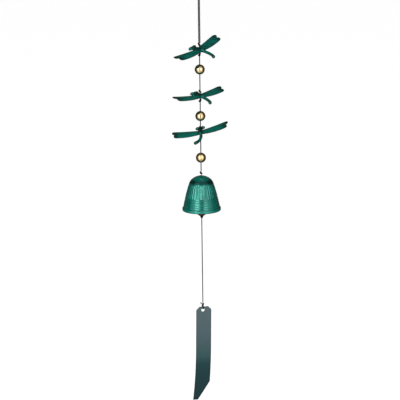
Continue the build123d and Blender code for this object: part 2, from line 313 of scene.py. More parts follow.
def free_cord(name, route, diameter, body, nodes):
    """A cord on its route's smooth line, in place of its CAD nodes."""
    line = resample(route_line(name + "_route", route), BRAID_STEP)
    piece = dress(braided(name, line, diameter), body, "cord", *nodes)
    cord_pieces.append(piece)


def node_ends(*names):
    """Highest and lowest point of some CAD nodes, in millimetres."""
    boxes = [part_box(name) for name in names]
    return max(box[1][2] for box in boxes) / MM, min(box[0][2] for box in boxes) / MM


cord_pieces = []
loop_half = (
    (strand_offset, loop_knot_z + knot_radius + seat_gap),
    (loop_waist, loop_waist_z),
    (loop_side, loop_side_z),
    (loop_crown, loop_crown_z),
)
loop_route = [(-x, 0, z) for x, z in loop_half] + [(x, 0, z) for x, z in reversed(loop_half)]
free_cord(
    "hanging_loop_cord", loop_route, cord_diameter, "hook_loop", ["hanging_loop"]
)
string_nodes = [f"{level}_dragonfly_inner_cord" for level in LEVELS]
string_nodes += [f"{level}_bead_cord" for level in LEVELS]
string_nodes += ["middle_dragonfly_upper_cord", "lower_dragonfly_upper_cord", "bell_upper_cord"]
for name, x, diameter, body, nodes in (
    ("upper_strand_left", -strand_offset, cord_diameter, "upper_strands", ["upper_cord_left"]),
    ("upper_strand_right", strand_offset, cord_diameter, "upper_strands", ["upper_cord_right"]),
    ("main_string", 0, cord_diameter, "string", string_nodes),
    ("clapper_line", 0, cord_diameter, "clapper", ["clapper_cord"]),
    ("tag_line_cord", 0, tag_cord_diameter, "tag_line", ["tag_cord"]),
):
    top, foot = node_ends(*nodes)
    taut_route = [(x, 0, z) for z in (top, (top + foot) / 2, foot)]
    free_cord(name, taut_route, diameter, body, nodes)

neck_line = np.array([(0, 0, z) for z in node_ends("bell_inner_cord")])
neck_cord = braided("bell_neck_cord", neck_line, cord_diameter)
cord_pieces.append(dress(neck_cord, "bell_neck", "cord", "bell_inner_cord"))


# Knots
knot_points, knot_rounds, knot_squeeze, knot_span, knot_ease = 72, 1900, 0.95, 2.2, 0.2
knot_shrink, knot_half_shrink, knot_least_half, knot_near_run = 0.9975, 0.998, 2.9, 1.6


def tight_knot():
    """The line of an overhand knot for a cord one wide, pulled tight step by step."""
    count, squeeze = knot_points, knot_squeeze
    t = np.linspace(-knot_span, knot_span, count)
    path = 1.5 * np.stack([t**3 - 3 * t, t**4 - 4 * t**2 + 1.6, 1.2 * (t**5 / 5 - 2 * t)], 1)
    path[:, :2] *= smooth_step(0, knot_ease, knot_span - np.abs(t))[:, None]
    length = np.linalg.norm(np.diff(path, axis=0), axis=1).sum()
    path = resample(path, length / (count - 1))
    half = path[-1, 2]
    order = np.arange(count)
    apart = np.abs(order[:, None] - order[None, :])
    for _ in range(knot_rounds):
        step = length / (count - 1)
        path[0], path[-1] = (0, 0, -half), (0, 0, half)
        for _ in range(5):
            for first in (0, 1):
                one, other = path[first:-1:2], path[first + 1 :: 2]
                both = min(len(one), len(other))
                gap = other[:both] - one[:both]
                size = np.linalg.norm(gap, axis=1, keepdims=True)
                shift = 0.5 * (size - step) * gap / size
                one[:both] += shift
                other[:both] -= shift
        path[1:-1] += 0.1 * (0.5 * (path[:-2] + path[2:]) - path[1:-1])
        gap = path[:, None] - path[None, :]
        size = np.linalg.norm(gap, axis=2) + 1e-9
        far = apart * step > knot_near_run
        push = np.where(far & (size < squeeze), (squeeze - size) / size, 0)
        path += 0.3 * (push[:, :, None] * gap).sum(1)
        if size[far].min() > 0.9 * squeeze:
            length *= knot_shrink
            half = max(half * knot_half_shrink, knot_least_half)
    return path


knot_line = tight_knot()


def knot_path(diameter, height, end_reach):
    """The knot's line about a height, cut off where the cord takes over."""
    path = knot_line * diameter
    keep = (np.abs(path[:, 2]) < end_reach) | (np.hypot(*path.T[:2]) > 0.3 * diameter)
    first, last = np.flatnonzero(keep)[[0, -1]]
    return path[first : last + 1] + height * UP


def tie_knot(name, node, body, radius, turn):
    """An overhand knot in place of a CAD knot, as wide as it is and turned about the cord."""
    low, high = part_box(node)
    height = (low[2] + high[2]) / 2 / MM
    scale = radius / knot_outer
    path = knot_path(scale, height, knot_flat_share * radius)
    spin = Matrix.Rotation(turn - knot_wide_angle, 3, "Z")
    path = np.array([tuple(spin @ Vector(p)) for p in path])
    knot_pieces.append(dress(braided(name, path, scale), body, "knot", node))


knot_reach = np.hypot(*knot_line.T[:2])
knot_outer = knot_reach.max() + 0.5
knot_wide_angle = math.atan2(*knot_line[knot_reach.argmax(), 1::-1])
knot_pieces = []
tie_knot("loop_knot_tied", "loop_knot", "loop_knot", knot_radius, 0.4)
for index, level in enumerate(LEVELS):
    top_radius = double_knot_radius if level == "upper" else knot_radius
    for place, radius, turn in (
        ("dragonfly_top", top_radius, 0.3 * index - 0.2),
        ("dragonfly_stop", knot_radius, 3.0 + 0.2 * index),
        ("bead_stop", knot_radius, 0.3 - 0.25 * index),
    ):
        tie_knot(f"{level}_{place}_tied", f"{level}_{place}_knot", "string", radius, turn)
tie_knot("bell_top_tied", "bell_top_knot", "bell_knot", knot_radius, 0.1)
tie_knot("bell_stop_tied", "bell_stop_knot", "stop_knot", knot_radius, 2.4)
tie_knot("clapper_tied", "clapper_knot", "clapper_knot", knot_radius, 4.0)

# The tag's knot, with the strap through the hole and the short cut end, frayed to fibres
tag_heading = math.radians(20)
tag_x = np.array([math.cos(tag_heading), math.sin(tag_heading), 0])
tag_y = np.array([-math.sin(tag_heading), math.cos(tag_heading), 0])
tail_lean = math.radians(50)
tail_way = np.array([-math.sin(tail_lean), 0, math.cos(tail_lean)])
tail_length, tail_start, fibre_reach = 5.2, 0.6, 0.9
FIBRES, FIBRE_POINTS, FIBRE_SIDES = 26, 8, 6
fibre_lean, fibre_spread, fibre_curl = 0.28, 0.16, 0.12
fibre_shortest, fibre_longest = 0.7, 1.1
fibre_root_radius, fibre_tip_radius = 0.1, 0.05
tag_scale = tag_knot_radius / knot_outer
knot_run = resample(
    knot_path(tag_scale, tag_knot_z, knot_flat_share * tag_knot_radius), BRAID_STEP
)
strap_turn = np.linspace(0, TURN, 96)[:, None]
strap_line = strap_z * UP + strap_radius * (np.sin(strap_turn) * tag_y + np.cos(strap_turn) * UP)
tail_run = np.linspace(tail_start, tail_length - fibre_reach, 24)[:, None]
tail_line = tag_knot_z * UP + tail_run * tail_way
tag_knot_parts = [
    braided_tube(line, tag_cord_diameter)[:2] for line in (knot_run, strap_line, tail_line)
]
fibre_rng = np.random.default_rng(7)
for _ in range(FIBRES):
    lean = fibre_rng.normal(0, fibre_lean, 3)
    root = tail_line[-1] + fibre_rng.normal(0, fibre_spread, 3)
    way = tail_way + lean
    way /= np.linalg.norm(way)
    length = fibre_rng.uniform(fibre_shortest, fibre_longest)
    curl = fibre_rng.normal(0, fibre_curl, 3)
    share = np.linspace(-0.4, 1, FIBRE_POINTS)[:, None]
    line = root + length * share * way + curl * share**2
    radii = np.linspace(fibre_root_radius, fibre_tip_radius, FIBRE_POINTS)
    tag_knot_parts.append(closed_tube(line, radii, FIBRE_SIDES)[:2])
points, faces = join(tag_knot_parts)
tag_tied = add_mesh("tag_knot_tied", points, faces, braid=np.full(len(points), 0.6))
knot_pieces.append(dress(tag_tied, "tag_knot", "knot", "tag_knot"))


# Dragonflies
thorax_length, thorax_height, thorax_lift = 22.0, 7.4, 0.6
neck_radius, head_reach, head_lift = 3.0, 14.7, 2.5
head_width, head_radius, eye_radius, eye_reach = 14.2, 2.3, 2.5, 3.5
neck_root_reach, neck_root_lift = 4.0, 0.5
tail_radius, tail_tip_radius, tail_rings = 2.3, 2.4, 9
tail_root_reach, tail_middle_reach, tail_middle_droop = 5.0, 17.0, 2.6
tail_reach, tail_bend, tail_droop = 38.5, 8.0, 3.6
wing_root_reach, wing_root_thickness, wing_tip_thickness = 1.6, 2.0, 1.1
wing_root_chord, wing_sag_share, wing_belly_share = 5.5, 0.26, 0.6
wing_tip_share, wing_tip_chord_share = 0.92, 0.86
cord_hole_radius = 2.15
wing_top_power, wing_edge_power, wing_edge_width, wing_sides = 0.55, 0.8, 1.1, 40
# Fore wing, then hind wing: how far its root and its tip lead, its span, rise and chord,
# and the angle of its front edge
Wing = namedtuple("Wing", "root_lead lead span rise chord incidence")
WINGS = (Wing(4.6, 8.8, 40.0, 5.1, 9.9, 13.0), Wing(-4.0, -0.6, 38.0, 2.7, 10.3, 20.0))
# Veins along a wing: place across it, start and end along it, and height
VEINS = (
    (0.86, 0.0, 0.97, 1.0),
    (0.52, 0.05, 0.93, 0.8),
    (0.16, 0.0, 0.9, 0.8),
    (-0.24, 0.02, 0.84, 0.7),
    (-0.62, 0.1, 0.78, 0.6),
)
vein_width, vein_height, cross_veins, cross_width, cross_height = 0.3, 0.16, 14, 0.2, 0.45
# Where veins are: beside the thorax, from the tail's root to the eyes
wing_zone_side, wing_zone_back, wing_zone_front = 3.2, -13.0, 15.5
eye_zone_back, eye_zone_side = 11.6, 7.6
# Where the darker tips, wing edges and tail start and are full, and where the darker back ends:
# partly dark paint, partly painted shade
TIP_SHADE, EDGE_SHADE, TAIL_SHADE = (0.66, 0.98), (0.72, 1.0), (32.0, 37.0)
HUMP_SHADE, BACK_SHADE, BELLY_SHADE = (6.0, 11.0), (2.8, 5.2), (-2.0, 1.5)
VOXEL, cutter_reach = 0.24, 9.0
# Heading, pitch and lean of each dragonfly, in degrees
STANCES = ((129.6, 5.6, -14.8), (121.9, 4.7, -3.6), (89.5, -1.3, -11.6))


def arc_through(first, middle, last, count):
    """Points on the circle through three points."""
    a, b, c = (np.asarray(p, float) for p in (first, middle, last))
    ab, ac = b - a, c - a
    normal = np.cross(ab, ac)
    centre = a + (
        np.cross(normal, ab) * ac.dot(ac) + np.cross(ac, normal) * ab.dot(ab)
    ) / (2 * normal.dot(normal))
    radius = np.linalg.norm(a - centre)
    x = (a - centre) / radius
    y = np.cross(normal / np.linalg.norm(normal), x)
    end = math.atan2((c - centre).dot(y), (c - centre).dot(x)) % TURN
    angle = np.linspace(0, end, count)[:, None]
    return centre + radius * (np.cos(angle) * x + np.sin(angle) * y)


def wing_frame(wing):
    """A left wing's root, its three directions and its length."""
    root = np.array([wing.root_lead, wing_root_reach, 0])
    tip = np.array([wing.lead, wing.span, 0])
    length = np.linalg.norm(tip - root)
    along = (tip - root) / length
    flat = np.array([along[1], -along[0], 0])
    turn = math.radians(wing.incidence)
    across = math.cos(turn) * flat + math.sin(turn) * UP
    normal = math.cos(turn) * UP - math.sin(turn) * flat
    return root, along, across, normal, length


def wing_profile(wing, length):
    """Half width and height along a wing, as functions of the run along it."""
    half_chord = wing.chord / 2
    shoulder = wing_tip_share * length
    half_tip = wing_tip_chord_share * half_chord
    width_arc = arc_through(
        (0, wing_root_chord / 2, 0),
        (wing_belly_share * length, half_chord, 0),
        (shoulder, half_tip, 0),
        60,
    )
    height_arc = arc_through(
        (0, 0, 0), (length / 2, wing_sag_share * wing.rise, 0), (length, wing.rise, 0), 60
    )
    end = arc_through((shoulder, half_tip, 0), (length, 0, 0), (shoulder, -half_tip, 0), 80)[:40]

    def width(run):
        inner = np.interp(run, width_arc[:, 0], width_arc[:, 1])
        outer = np.interp(run, end[:, 0], end[:, 1])
        return np.where(run < shoulder, inner, outer)

    def height(run):
        return np.interp(run, height_arc[:, 0], height_arc[:, 1])

    return width, height


def wing_mesh(wing, mirrored):
    """One wing as a closed strip with rounded edges, thinner towards its tip."""
    root, along, across, normal, length = wing_frame(wing)
    width, height = wing_profile(wing, length)
    tip_turn = np.linspace(0, math.pi / 2, 26)[1:]
    share = np.concatenate([np.linspace(-0.05, 0.86, 70), 1 - 0.14 * np.cos(tip_turn)])
    share[-1] = 0.9995
    run = share * length
    inside = np.clip(run, 0, length)
    angle = angles(wing_sides)
    out = np.sign(np.cos(angle)) * np.abs(np.cos(angle)) ** wing_edge_power
    lift = np.sign(np.sin(angle)) * np.abs(np.sin(angle)) ** wing_top_power
    thick = wing_root_thickness + (wing_tip_thickness - wing_root_thickness) * np.clip(share, 0, 1)
    half = width(inside)
    thin = thick / 2 * np.clip(half / wing_edge_width, 0.25, 1)
    rings = (
        root
        + run[:, None, None] * along
        + (half[:, None] * out)[:, :, None] * across
        + (height(inside)[:, None] + thin[:, None] * lift)[:, :, None] * normal
    )
    points = np.vstack([rings.reshape(-1, 3), rings[0].mean(0)[None], rings[-1].mean(0)[None]])
    faces = capped_faces(len(run), wing_sides)
    return (points * MIRROR, faces) if mirrored else (points, flipped(faces))


def turned(middle, axis, stations, radii, sides=48):
    """A closed shape turned round an axis: radii at stations along it."""
    path = np.array(middle, float) + stations[:, None] * np.array(axis, float)
    return closed_tube(path, radii, sides)[:2]


def body_parts():
    """Thorax, neck, head, eyes and segmented tail of a dragonfly."""
    x = np.linspace(-1, 1, 61)
    x[0], x[-1] = -0.999, 0.999
    swell = 1 + 0.05 * np.cos(x * 9) * (1 - x * x)
    thorax_radii = thorax_height / 2 * np.sqrt(1 - x * x) * swell
    parts = [turned((0, 0, thorax_lift), (1, 0, 0), x * thorax_length / 2, thorax_radii)]
    neck_from = np.array([neck_root_reach, 0, thorax_lift + neck_root_lift])
    head = np.array([head_reach, 0, head_lift])
    neck = neck_from + np.linspace(0, 1, 30)[:, None] * (head - neck_from)
    neck_radii = neck_radius * (1 + 0.1 * np.cos(np.linspace(0, 9, 30)))
    parts.append(closed_tube(neck, neck_radii, 32)[:2])
    swing = np.linspace(-1.55, 1.55, 31)
    parts.append(turned(head, (0, 1, 0), np.sin(swing) * head_radius, head_radius * np.cos(swing)))
    swing = np.linspace(0.02, math.pi / 2, 20)
    share = np.linspace(0, 1, 24)[1:]
    outer_radii = eye_radius * np.sqrt(np.clip(1 - share**1.6, 0, 1)) * (1 - 0.12 * share) + 0.02
    radii = np.concatenate([eye_radius * np.sin(swing), outer_radii])
    outer = eye_reach + (head_width / 2 - eye_reach) * share
    stations = np.concatenate([eye_reach - eye_radius * np.cos(swing), outer])
    points, faces = turned(head, (0, 1, 0), stations, radii)
    parts += [(points, faces), (points * MIRROR, flipped(faces))]
    tail = arc_through(
        (-tail_root_reach, 0, 0),
        (-tail_middle_reach, 0, -tail_middle_droop),
        (-tail_reach, tail_bend, -tail_droop),
        400,
    )
    run = np.linspace(0, 1, 400)
    groove = np.abs(np.sin(run * tail_rings * math.pi)) ** 0.35
    taper = tail_radius * (1.02 - 0.1 * np.sin(run * math.pi)) * (0.86 + 0.14 * groove)
    parts.append(closed_tube(tail, taper, 36)[:2])
    end_way = tail[-1] - tail[-2]
    end_way /= np.linalg.norm(end_way)
    swing = np.linspace(-1.52, 1.52, 25)
    end = tail[-1] + np.sin(swing)[:, None] * tail_tip_radius * end_way
    parts.append(closed_tube(end, tail_tip_radius * np.cos(swing), 32)[:2])
    return parts


def vein_relief(side, share, half, length):
    """Height of a wing's veins from the place across it and the share along it."""
    veins = np.zeros(len(side))
    for lane, start, end, ridge in VEINS:
        lane_at = lane * (0.75 + 0.25 * share) + 0.05 * np.sin(share * 5 + lane * 7)
        away = (side - lane_at) * half
        ends = smooth_step(start - 0.02, start + 0.06, share)
        ends *= 1 - smooth_step(end - 0.08, end, share)
        veins = np.maximum(veins, ridge * ends * hill(away, vein_width))
    slant = share * cross_veins + 0.45 * side + 0.3 * np.sin(side * 4)
    gap = np.abs(slant - np.round(slant)) * length / cross_veins
    cross = cross_height * hill(gap, cross_width) * smooth_step(0.12, 0.25, share)
    return np.maximum(veins, cross * (np.abs(side) < 0.85))


def dragonfly_mesh():
    """The whole casting in its own frame, as one skin with the cord's hole and its relief."""
    parts = body_parts()
    for wing in WINGS:
        parts += [wing_mesh(wing, False), wing_mesh(wing, True)]
    points, faces = join(parts)
    rough = add_mesh("casting", points, faces)
    cutter_line = np.array([(0, 0, z) for z in np.linspace(-cutter_reach, cutter_reach, 7)])
    cutter = add_mesh("cutter", *closed_tube(cutter_line, cord_hole_radius, 64)[:2])
    modify(rough, "skin", "REMESH", mode="VOXEL", voxel_size=VOXEL * MM)
    modify(rough, "soften", "SMOOTH", factor=0.5, iterations=2)
    modify(rough, "hole", "BOOLEAN", operation="DIFFERENCE", solver="EXACT", object=cutter)
    data = evaluated(rough)
    bpy.data.objects.remove(rough)
    bpy.data.objects.remove(cutter)
    place = read_vectors(data.vertices, "co") / MM
    normals = read_vectors(data.vertex_normals, "vector")
    relief, tips, edges = np.zeros((3, len(place)))
    # These follow the points when the veins lift them
    x, y, z = place.T
    on_wing = (np.abs(y) > wing_zone_side) & (x > wing_zone_back) & (x < wing_zone_front)
    on_wing &= ~((x > eye_zone_back) & (np.abs(y) < eye_zone_side))
    left = place.copy()
    left[:, 1] = np.abs(left[:, 1])
    best = np.full(len(place), np.inf)
    for wing in WINGS:
        root, along, across, normal, length = wing_frame(wing)
        width, height = wing_profile(wing, length)
        run = (left - root) @ along
        inside = np.clip(run, 0, length)
        half = np.maximum(width(inside), 0.4)
        side = ((left - root) @ across) / half
        off = np.abs((left - root) @ normal - height(inside))
        nearer = on_wing & (np.abs(side) < 1.15) & (off < 2.2) & (off < best)
        best[nearer] = off[nearer]
        share = inside / length
        relief[nearer] = vein_relief(side, share, half, length)[nearer]
        tips[nearer] = smooth_step(*TIP_SHADE, share)[nearer]
        edges[nearer] = smooth_step(*EDGE_SHADE, np.abs(side))[nearer]
    relief[np.hypot(x, y) < cord_hole_radius + 0.4] = 0
    place += normals * (vein_height * relief)[:, None]
    # Darker along the top of the body, most over the thorax: partly dark paint, partly painted
    # shade
    hump = 1 - smooth_step(*HUMP_SHADE, np.abs(x - 1.5))
    spine = (1 - smooth_step(*BACK_SHADE, np.abs(y))) * (0.35 + 0.65 * hump)
    spine *= smooth_step(*BELLY_SHADE, z)
    tips = np.maximum(tips, 0.8 * smooth_step(*TAIL_SHADE, -x))
    data.vertices.foreach_set("co", (place * MM).ravel())
    return finish_mesh(data, relief=relief, tips=tips, edges=edges, spine=spine)


casting = dragonfly_mesh()
dragonflies = []
for level, stance in zip(LEVELS, STANCES):
    place = Matrix.Translation((0, 0, dragonfly_z[level] * MM))
    for degrees, axis in zip(stance, "ZYX"):
        place = place @ Matrix.Rotation(math.radians(degrees), 4, axis)
    data = casting.copy()
    data.transform(place)
    node = f"{level}_dragonfly"
    dragonflies.append(dress(link(f"{node}_casting", data), node, "dragonfly_lacquer", node))


# Bell
bell_height, mouth_radius, bell_wall = 49.6, 27.0, 2.8
crown_radius, shoulder_radius, shoulder_drop = 20.0, 7.0, 8.8
shoulder_start, side_bow, lip_height, lip_relief = 16.2, 0.8, 5.6, 0.5
crown_hole_radius, lip_round, foot_round, lip_ease = 1.45, 1.1, 0.7, 2.2
wall_points, even_points, corner_share = 1400, 700, 0.42
shoulder_ring_drop, ring_height, ring_spread = 9.8, 0.38, 0.55
# Drop, height and spread of each ring round the bell
RINGS = [(drop, ring_height, ring_spread) for drop in (shoulder_ring_drop, 31.8)]
RINGS += [(drop, 0.32, 0.5) for drop in (34.9, 38.2, 41.5)]
flare_share = (mouth_radius - lip_relief - shoulder_start) / (bell_height - shoulder_drop)
flare_slant = math.hypot(1, flare_share)
RIBS = 40
RIB_FROM, RIB_TO, RIB_HEIGHT, RELIEF_FULL = 11.0, 30.6, 0.34, 0.4
NOTCH_DEPTH, NOTCH_SPREAD = 0.12, 0.6


def side_at(drop, inset=0.0):
    """Radius of the bell's side at a drop below the crown."""
    along = (drop - shoulder_drop) / (bell_height - shoulder_drop)
    straight_side = shoulder_start + (drop - shoulder_drop) * flare_share - inset * flare_slant
    return straight_side + 4 * side_bow * along * (1 - along)


def crown_at(radius, inset=0.0):
    """Drop of the crown's arc at a radius."""
    return crown_radius - np.sqrt(np.maximum((crown_radius - inset) ** 2 - radius**2, 0))


def wall_line(inset, foot, bore):
    """Radius and drop from the bore over the rounded shoulder down to the foot."""
    drops = np.linspace(0, foot, wall_points)
    flank = np.stack([side_at(drops, inset), drops], 1)
    radii = np.linspace(bore, 0.98 * (crown_radius - inset), wall_points)
    dome = np.stack([radii, crown_at(radii, inset)], 1)
    meet = np.argmax(dome[:, 0] >= side_at(dome[:, 1], inset))
    line = np.vstack([dome[:meet], flank[flank[:, 1] > dome[meet, 1]]])
    step = run_along(line)[-1] / even_points
    line = spaced(line, even_points)
    # The corner where crown and side meet is rounded by a moving mean
    spread = max(3, int((shoulder_radius - inset) * corner_share / step))
    window = np.hanning(2 * spread + 1)
    window /= window.sum()
    ahead = np.arange(1, spread + 1)[:, None]
    before = line[:1] - (line[1] - line[0]) * ahead[::-1]
    padded = np.vstack([before, line, line[-1:] + (line[-1] - line[-2]) * ahead])
    return np.stack([np.convolve(padded[:, k], window, "valid") for k in range(2)], 1)


def bell_piece():
    """The bell as one turned skin, inside and out, with its rings, ribs and rolled lip."""
    outer = wall_line(0, bell_height - lip_round, crown_hole_radius + 0.5)
    lip_top = bell_height - lip_height
    lip = smooth_step(lip_top, lip_top + lip_ease, outer[:, 1])
    outer[:, 0] += lip * (mouth_radius + 0.02 - side_at(outer[:, 1]))
    turn = np.linspace(0, math.pi / 2, 9)[1:]
    roll = outer[-1] + lip_round * np.stack([np.cos(turn) - 1, np.sin(turn)], 1)
    foot_inner = side_at(bell_height, bell_wall) + foot_round
    flat = np.stack([np.linspace(roll[-1, 0], foot_inner, 5)[1:], np.full(4, bell_height)], 1)
    inner_roll = np.array([foot_inner, bell_height]) - foot_round * np.stack(
        [np.sin(turn), 1 - np.cos(turn)], 1
    )
    inner = wall_line(bell_wall, bell_height - 0.8, crown_hole_radius + 0.4)[::-7]
    outer_rows = outer[::3]
    bore_low = float(crown_at(np.array(crown_hole_radius), bell_wall))
    bore = crown_hole_radius + np.array([0.12, 0, 0, 0, 0.12])
    bore = np.stack([bore, [bore_low + 0.02, bore_low - 0.15, 1.5, 0.35, 0.12]], 1)
    profile = np.vstack([outer_rows, roll, flat, inner_roll, inner, bore])
    way = np.gradient(profile, axis=0)
    way /= np.maximum(np.linalg.norm(way, axis=1, keepdims=True), 1e-9)
    normal = np.stack([way[:, 1], -way[:, 0]], 1)
    drop = profile[:, 1]
    rings = np.zeros(len(profile))
    for middle, raised, spread in RINGS:
        rings += raised * hill(drop - middle, spread)
    angle = angles(RIBS * 8)
    wave = (0.5 + 0.5 * np.cos(RIBS * angle)) ** 1.6
    zone = smooth_step(RIB_FROM, RIB_FROM + 1.2, drop)
    zone *= 1 - smooth_step(RIB_TO - 1.4, RIB_TO, drop)
    ribs = RIB_HEIGHT * zone[:, None] * wave
    notch = NOTCH_DEPTH * hill(drop - shoulder_ring_drop, NOTCH_SPREAD)[:, None] * (1 - wave)
    outside = (np.arange(len(profile)) < len(outer_rows)).astype(float)[:, None]
    relief = outside * (rings[:, None] + ribs - notch)
    radius = profile[:, :1] + relief * normal[:, :1]
    height = bell_top - drop[:, None] - relief * normal[:, 1:]
    values = {
        "relief": np.clip(relief / RELIEF_FULL, 0, 1).ravel(),
        "drop": np.repeat(np.where(outside[:, 0] > 0, drop / bell_height, 2), len(angle)),
    }
    piece = turned_mesh("bell_casting", radius, height, angle, **values)
    return dress(piece, "bell", "bell_lacquer", "bell")


bell = bell_piece()


# Beads and clapper
def ball_piece(name, node, slot_name, middle_z, diameter, knot_depth):
    """A turned brass ball with a bore, eased edges and a pocket for its knot."""
    radius, bore, pocket = diameter / 2, cord_diameter / 2 + bore_clearance, knot_radius + seat_gap
    pocket_top = pocket - knot_depth
    top_angle = math.asin((bore + ball_ease) / radius)
    foot_angle = math.pi - math.asin((pocket + ball_ease) / radius)
    top, foot = radius * math.cos(top_angle), radius * math.cos(foot_angle)
    angle = np.linspace(top_angle, foot_angle, 90)
    ball = np.stack([radius * np.sin(angle), radius * np.cos(angle)], 1)
    ball[:, 0] -= groove_depth * hill(ball[:, 1], groove_spread)
    profile = np.vstack(
        [
            [(bore, 0.5 * radius), (bore, top - 0.35), (bore + 0.06, top - 0.1)],
            ball,
            [(pocket + 0.05, foot + 0.1), (pocket, foot + 0.35), (pocket, pocket_top - 0.25)],
            [(pocket - 0.1, pocket_top - 0.03), (pocket - 0.3, pocket_top), (bore, pocket_top)],
        ]
    )
    piece = turned_mesh(name, profile[:, :1], middle_z + profile[:, 1:], angles(ball_sides))
    return dress(piece, node, slot_name, node)


bead_diameter, bead_depth, clapper_diameter, ball_ease = 14.2, 4.6, 14.0, 0.22
groove_depth, groove_spread, ball_sides = 0.05, 0.35, 96
beads = [
    ball_piece(f"{level}_brass_bead", f"{level}_bead", "bead_brass", z, bead_diameter, bead_depth)
    for level, z in bead_z.items()
]
clapper = ball_piece(
    "clapper_ball", "clapper", "clapper_brass", clapper_z, clapper_diameter, clapper_diameter / 2
)


# Tag
tag_width, tag_length, tag_short_side, tag_end_width = 22.4, 136.5, 109.5, 7.1
tag_thickness, tag_corner, tag_hole_radius, tag_strip = 0.5, 4.6, 2.4, 2.4
tag_straight_length, tag_curl = 60.0, 11.0
tag_top = tag_strip / 2
tag_foot = tag_top - tag_length
tag_hole_offset, tag_lean = 1.2, math.radians(1.1)
tag_left = tag_hole_offset - tag_width / 2
tag_right = tag_left + tag_width
tag_hole_z = -tag_strip / 2 - tag_hole_radius
tag_grid, tag_inset, tag_ease, dot_pitch, dot_height = 0.75, 0.35, 0.12, 2.25, 0.045


def tag_piece():
    """The tag: a stiff card with a dotted emboss, eased edges, a punched hole and a curled foot."""
    outline = [
        (tag_left, tag_top - tag_corner),
        (tag_left + tag_corner, tag_top),
        (tag_right - tag_corner, tag_top),
        (tag_right, tag_top - tag_corner),
        (tag_right, tag_top - tag_short_side),
        (tag_left + tag_end_width, tag_foot),
        (tag_left, tag_foot),
    ]
    edges = list(zip(outline, outline[1:] + outline[:1]))
    border = []
    for (ax, az), (bx, bz) in edges:
        parts = max(1, int(math.hypot(bx - ax, bz - az) / tag_grid))
        border += [(ax + (bx - ax) * k / parts, az + (bz - az) * k / parts) for k in range(parts)]
    hole = [
        (tag_hole_radius * math.cos(a), tag_hole_z + tag_hole_radius * math.sin(a))
        for a in np.linspace(0, TURN, 40, endpoint=False)
    ]
    edge_lines = []
    for start, ring in ((0, border), (len(border), hole)):
        edge_lines += [(start + k, start + (k + 1) % len(ring)) for k in range(len(ring))]

    def inside(x, z):
        """Whether a place is on the card, a little in from its edges."""
        depth = min(
            ((bz - az) * (x - ax) - (bx - ax) * (z - az)) / math.hypot(bx - ax, bz - az)
            for (ax, az), (bx, bz) in edges
        )
        return depth >= tag_inset and math.hypot(x, z - tag_hole_z) > tag_hole_radius + tag_inset

    filling = [
        (x, z)
        for row, z in enumerate(np.arange(tag_foot + 0.4, tag_top - 0.3, tag_grid))
        for x in np.arange(tag_left + 0.4 + (row % 2) * tag_grid / 2, tag_right - 0.3, tag_grid)
        if inside(x, z)
    ]
    points = [Vector(p) for p in border + hole + filling]
    places, _, triangles = delaunay_2d_cdt(points, edge_lines, [], 1, 1e-5)[:3]
    flat = np.array([(p.x, 0, p.y) for p in places])
    hole_middle = (0, 0, tag_hole_z)
    kept = [
        corners
        for corners in triangles
        if np.linalg.norm(flat[corners].mean(0) - hole_middle) > tag_hole_radius
    ]
    sheet = add_mesh("card", flat, kept)
    modify(sheet, "thick", "SOLIDIFY", thickness=tag_thickness * MM, offset=0)
    edge = {"width": tag_ease * MM, "segments": 2, "angle_limit": math.radians(50)}
    modify(sheet, "ease", "BEVEL", limit_method="ANGLE", **edge)
    data = evaluated(sheet)
    bpy.data.objects.remove(sheet)
    x, y, z = (read_vectors(data.vertices, "co") / MM).T
    dots = np.sin(TURN * (x + z) / dot_pitch) * np.sin(TURN * (x - z) / dot_pitch)
    face = np.abs(y) > tag_thickness / 2 - 0.02
    (ax, az), (bx, bz) = edges[4]
    slant = np.array([bx - ax, bz - az])
    slant /= np.linalg.norm(slant)
    slant_away = np.abs((x - ax) * slant[1] - (z - az) * slant[0])
    sides_away = [x - tag_left, tag_right - x, slant_away, tag_top - z, z - tag_foot]
    border_away = np.min(sides_away, axis=0)
    fade = smooth_step(0.4, 1.6, border_away)
    y = y + np.where(face, dot_height * np.maximum(dots, -0.2) * fade, 0) * np.sign(y)
    run = tag_top - z
    past = np.maximum(run - tag_straight_length, 0)
    fall = tag_length - tag_straight_length
    turn = 2 * math.atan2(tag_curl, fall)
    bend = fall / math.sin(turn)
    angle = np.arcsin(np.clip(past / bend, -1, 1))
    push = bend * (1 - np.cos(angle)) + y * np.cos(angle)
    bent = tag_top - tag_straight_length - bend * np.sin(angle)
    low = np.where(past > 0, bent, z) + y * np.sin(angle)
    leant_x = x * math.cos(tag_lean) + low * math.sin(tag_lean)
    leant_z = low * math.cos(tag_lean) - x * math.sin(tag_lean)
    world = strap_z * UP + leant_x[:, None] * tag_x + push[:, None] * tag_y + leant_z[:, None] * UP
    rim = 1 - smooth_step(0.3, 1.8, border_away)
    dots = np.clip(0.5 + 0.5 * dots, 0, 1) * fade
    data.vertices.foreach_set("co", (world * MM).ravel())
    finish_mesh(data, down=run / tag_length, rim=rim, dots=dots)
    return dress(link("tag_card", data), "tag", "tag_card", "tag")


tag = tag_piece()


# Materials
class Nodes:
    """Short ways to add nodes to a tree and to join them."""

    def __init__(self, tree):
        self.tree = tree

    def node(self, kind, **values):
        added = self.tree.nodes.new(kind)
        for key, value in values.items():
            setattr(added, key, value)
        return added

    def feed(self, socket, value):
        if isinstance(value, bpy.types.NodeSocket):
            self.tree.links.new(value, socket)
        else:
            socket.default_value = value

    def fill(self, node, **values):
        """Feeds several inputs of a node by name."""
        for key, value in values.items():
            self.feed(node.inputs[key.replace("_", " ")], value)
        return node

    def math(self, operation, first, second=0.0):
        added = self.node("ShaderNodeMath", operation=operation)
        self.feed(added.inputs[0], first)
        self.feed(added.inputs[1], second)
        return added.outputs["Value"]


